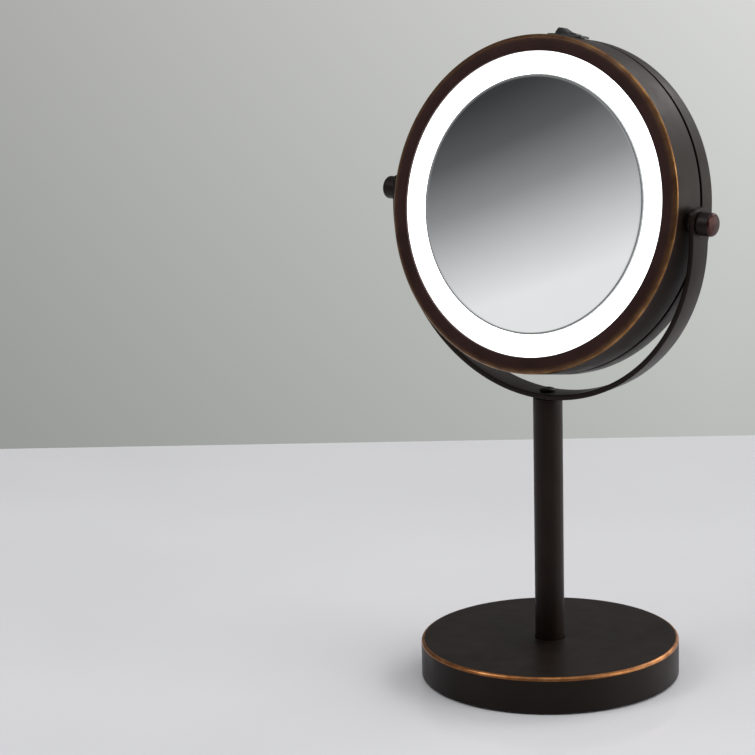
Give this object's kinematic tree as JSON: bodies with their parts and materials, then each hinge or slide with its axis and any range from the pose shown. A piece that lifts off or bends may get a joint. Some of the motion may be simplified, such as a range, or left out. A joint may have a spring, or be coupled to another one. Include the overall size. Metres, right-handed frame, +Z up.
{
  "type": "lighted vanity mirror",
  "caption": "Round two-sided tabletop mirror with a lit opal ring, tilting in a U-shaped yoke on a post and a weighted disc base, with a rocker switch on top",
  "frame": {"origin": "centre of the underside of the base, on the table", "axes": "+Z up; the lit mirror faces -Y and leans back 12 degrees; +X is to the right of somebody who looks into the lit mirror; the tilt axis runs along X"},
  "size_m": [0.1816, 0.122, 0.3057],
  "materials": {
    "oil_rubbed_bronze": "dark oil-rubbed bronze lacquer with rubbed copper-coloured edges",
    "silvered_glass": "polished silvered glass",
    "opal_diffuser": "opal white light-diffusing plastic, lit",
    "white_plastic": "white reflective moulding",
    "black_plastic": "fine-textured black moulding",
    "rocker_plastic": "smooth black moulding",
    "plated_steel": "bright zinc plate",
    "bronze_screw": "dark bronze plate",
    "cast_weight": "rough as-cast iron",
    "turned_brass": "turned brass",
    "foot_foam": "matte black non-slip foam rubber",
    "nylon": "black nylon",
    "led_laminate": "white-coated circuit laminate",
    "driver_laminate": "green circuit laminate",
    "cell_jacket": "plain printed cell jacket without marks",
    "wire_red": "red wire insulation",
    "wire_black": "black wire insulation"
  },
  "bodies": {
    "stand": {"base_shell": "oil_rubbed_bronze", "foot_pad": "foot_foam", "base_plate": "plated_steel", "base_weight": "cast_weight", "base_bolt": "plated_steel", "base_washer": "plated_steel", "post_tube": "oil_rubbed_bronze", "post_lower_insert": "turned_brass", "post_upper_insert": "turned_brass", "yoke": "oil_rubbed_bronze", "yoke_screw": "bronze_screw", "friction_washer_left": "nylon", "friction_washer_right": "nylon"},
    "head": {"pivot_spacer_left": "oil_rubbed_bronze", "pivot_spacer_right": "oil_rubbed_bronze", "pivot_nut_left": "plated_steel", "pivot_nut_right": "plated_steel", "pivot_pin_left": "plated_steel", "pivot_pin_right": "plated_steel", "pivot_knob_left": "oil_rubbed_bronze", "pivot_knob_right": "oil_rubbed_bronze", "front_shell": "oil_rubbed_bronze", "front_mirror": "silvered_glass", "diffuser_ring": "opal_diffuser", "reflector_tray": "white_plastic", "led_board": "led_laminate", "chassis": "black_plastic", "battery_door": "black_plastic", "chassis_screw_1": "plated_steel", "chassis_screw_2": "plated_steel", "chassis_screw_3": "plated_steel", "battery_holder": "black_plastic", "battery_1": "cell_jacket", "battery_spring_1": "plated_steel", "battery_2": "cell_jacket", "battery_spring_2": "plated_steel", "battery_3": "cell_jacket", "battery_spring_3": "plated_steel", "battery_4": "cell_jacket", "battery_spring_4": "plated_steel", "switch_housing": "black_plastic", "switch_terminal_left": "turned_brass", "switch_terminal_right": "turned_brass", "driver_board": "driver_laminate", "wire_battery_positive": "wire_red", "wire_battery_negative": "wire_black", "wire_switch_in": "wire_red", "wire_switch_out": "wire_black", "wire_led_positive": "wire_red", "wire_led_negative": "wire_black"},
    "rocker": {"switch_rocker": "rocker_plastic"},
    "rear_cover": {"rear_shell": "oil_rubbed_bronze", "rear_mirror": "silvered_glass", "rear_backing": "black_plastic"}
  },
  "joints": [
    {"name": "head_tilt", "type": "hinge", "parent": "stand", "child": "head", "pos_m": [0, 0, 0.226], "axis": [1, 0, 0], "continuous": true},
    {"name": "power_switch", "type": "hinge", "parent": "head", "child": "rocker", "pos_m": [0, 0.01929, 0.30139], "axis": [0, 0.9781, -0.2079], "range_deg": [-14, 0]},
    {"name": "rear_cover_twist", "type": "hinge", "parent": "head", "child": "rear_cover", "pos_m": [0, 0.00861, 0.22417], "axis": [0, 0.9781, -0.2079], "range_deg": [0, 15]}
  ]
}
